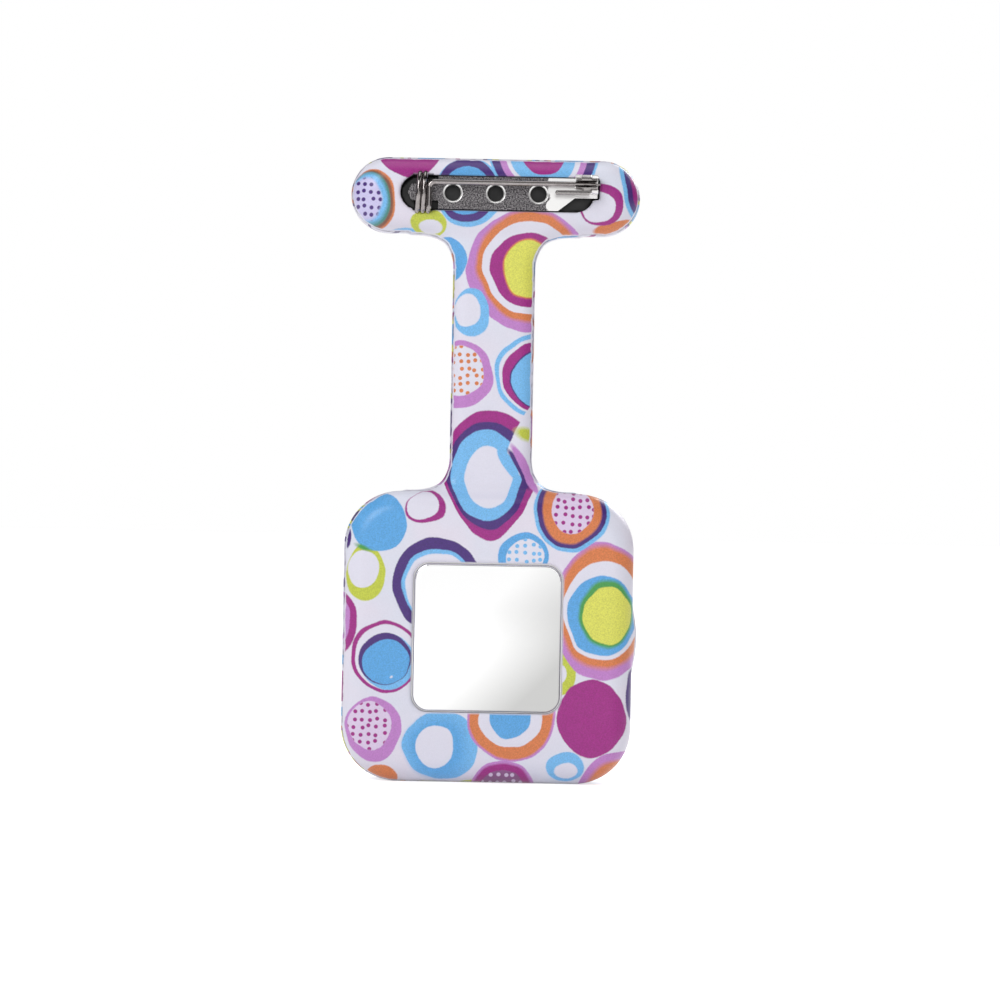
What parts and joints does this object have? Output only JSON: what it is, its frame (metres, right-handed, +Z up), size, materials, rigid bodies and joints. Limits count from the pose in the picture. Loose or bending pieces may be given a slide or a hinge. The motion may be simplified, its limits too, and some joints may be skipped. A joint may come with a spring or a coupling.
{
  "type": "fob watch",
  "caption": "Nurse's fob watch: T-shaped printed silicone holder with a brooch pin and safety catch, holding a square quartz watch with dial, hands, crown and full going train.",
  "frame": {"origin": "centre of the crystal's outer face, on the hands' axis", "axes": "+Z up as the watch hangs, with the T-bar on top; the dial faces -Y; the brooch and case back face +Y; 3 o'clock and the crown are at -X and 12 o'clock is at -Z"},
  "size_m": [0.0407, 0.0125, 0.0862],
  "materials": {
    "printed_silicone": "satin white silicone with a printed ring pattern",
    "nickel_steel": "bright nickel plate over stamped steel",
    "polished_case": "mirror polished plate",
    "mineral_glass": "clear",
    "black_rubber": "matt",
    "dial_white": "matt white lacquer",
    "black_hands": "black lacquer",
    "red_hand": "red lacquer",
    "brass_gilt": "gilt",
    "magnet_grey": "sintered magnet",
    "plain_steel": "fine brushed",
    "copper_wire": "enamelled copper",
    "white_plastic": "moulded",
    "green_board": "solder mask",
    "black_resin": "potting resin"
  },
  "bodies": {
    "watch": {"silicone_holder": "printed_silicone", "brooch_plate": "nickel_steel", "case_body": "polished_case", "bezel": "polished_case", "crystal": "mineral_glass", "crystal_gasket": "black_rubber", "case_back": "polished_case", "case_back_gasket": "black_rubber", "crown_tube": "polished_case", "dial": "dial_white", "dial_ring": "dial_white", "dial_washer": "brass_gilt", "main_plate": "brass_gilt", "movement_holder": "white_plastic", "train_bridge": "brass_gilt", "stator": "plain_steel", "coil_core": "plain_steel", "coil_winding": "copper_wire", "bridge_screws": "plain_steel", "coil_screws": "plain_steel", "clamp_screw": "plain_steel", "circuit_board": "green_board", "ic_chip": "black_resin", "quartz_can": "plain_steel", "battery": "plain_steel", "battery_insulator": "white_plastic", "battery_clamp": "plain_steel"},
    "needle": {"pin_wire": "nickel_steel"},
    "catch": {"safety_drum": "nickel_steel"},
    "stem_slide": {"setting_lever": "plain_steel"},
    "crown_stem": {"winding_stem": "plain_steel", "crown": "polished_case", "crown_gasket": "black_rubber"},
    "clutch": {"sliding_pinion": "plain_steel"},
    "seconds": {"fourth_wheel": "brass_gilt", "second_hand": "red_hand"},
    "intermediate": {"fifth_wheel": "brass_gilt"},
    "motor": {"rotor": "magnet_grey"},
    "third": {"third_wheel": "brass_gilt"},
    "minutes": {"centre_wheel": "brass_gilt", "cannon_pinion": "brass_gilt", "minute_hand": "black_hands"},
    "motion_work": {"minute_wheel": "brass_gilt"},
    "hours": {"hour_wheel": "brass_gilt", "hour_hand": "black_hands"},
    "setting": {"setting_wheel": "brass_gilt"}
  },
  "joints": [
    {"name": "needle_swing", "type": "hinge", "parent": "watch", "child": "needle", "pos_m": [0.0099, 0.009, 0.06115], "axis": [0, 0, -1], "range_deg": [0, 30]},
    {"name": "catch_turn", "type": "hinge", "parent": "watch", "child": "catch", "pos_m": [-0.0124, 0.01045, 0.0625], "axis": [1, 0, 0], "range_deg": [0, 115]},
    {"name": "crown_pull", "type": "slide", "parent": "watch", "child": "stem_slide", "axis": [-1, 0, 0], "range_m": [0, 0.0008]},
    {"name": "crown_turn", "type": "hinge", "parent": "stem_slide", "child": "crown_stem", "pos_m": [-0.0179, 0.0056, 0], "axis": [-1, 0, 0], "continuous": true},
    {"name": "clutch_slide", "type": "slide", "parent": "crown_stem", "child": "clutch", "axis": [1, 0, 0], "range_m": [0, 0.0012]},
    {"name": "seconds_turn", "type": "hinge", "parent": "watch", "child": "seconds", "pos_m": [0, 0.005, 0], "axis": [0, 1, 0], "continuous": true},
    {"name": "fifth_wheel_turn", "type": "hinge", "parent": "watch", "child": "intermediate", "pos_m": [0.00158, 0.005, 0.00273], "axis": [0, 1, 0], "continuous": true},
    {"name": "rotor_turn", "type": "hinge", "parent": "watch", "child": "motor", "pos_m": [0.00375, 0.005, 0.00352], "axis": [0, 1, 0], "continuous": true},
    {"name": "third_wheel_turn", "type": "hinge", "parent": "watch", "child": "third", "pos_m": [-0.00216, 0.005, -0.00216], "axis": [0, 1, 0], "continuous": true},
    {"name": "minutes_turn", "type": "hinge", "parent": "watch", "child": "minutes", "pos_m": [0, 0.005, 0], "axis": [0, 1, 0], "continuous": true},
    {"name": "minute_wheel_turn", "type": "hinge", "parent": "watch", "child": "motion_work", "pos_m": [-0.0024, 0.005, 0], "axis": [0, 1, 0], "continuous": true},
    {"name": "hours_turn", "type": "hinge", "parent": "watch", "child": "hours", "pos_m": [0, 0.005, 0], "axis": [0, 1, 0], "continuous": true},
    {"name": "setting_wheel_turn", "type": "hinge", "parent": "watch", "child": "setting", "pos_m": [-0.0052, 0.005, 0], "axis": [0, 1, 0], "continuous": true}
  ],
  "couplings": [
    {"joint": "clutch_slide", "follows": "crown_pull", "ratio": 1.5},
    {"joint": "fifth_wheel_turn", "follows": "seconds_turn", "ratio": -5},
    {"joint": "rotor_turn", "follows": "seconds_turn", "ratio": 30},
    {"joint": "third_wheel_turn", "follows": "seconds_turn", "ratio": -0.13333},
    {"joint": "minutes_turn", "follows": "seconds_turn", "ratio": 0.016667},
    {"joint": "minute_wheel_turn", "follows": "seconds_turn", "ratio": -0.0055556},
    {"joint": "hours_turn", "follows": "seconds_turn", "ratio": 0.0013889},
    {"joint": "setting_wheel_turn", "follows": "seconds_turn", "ratio": 0.01}
  ]
}
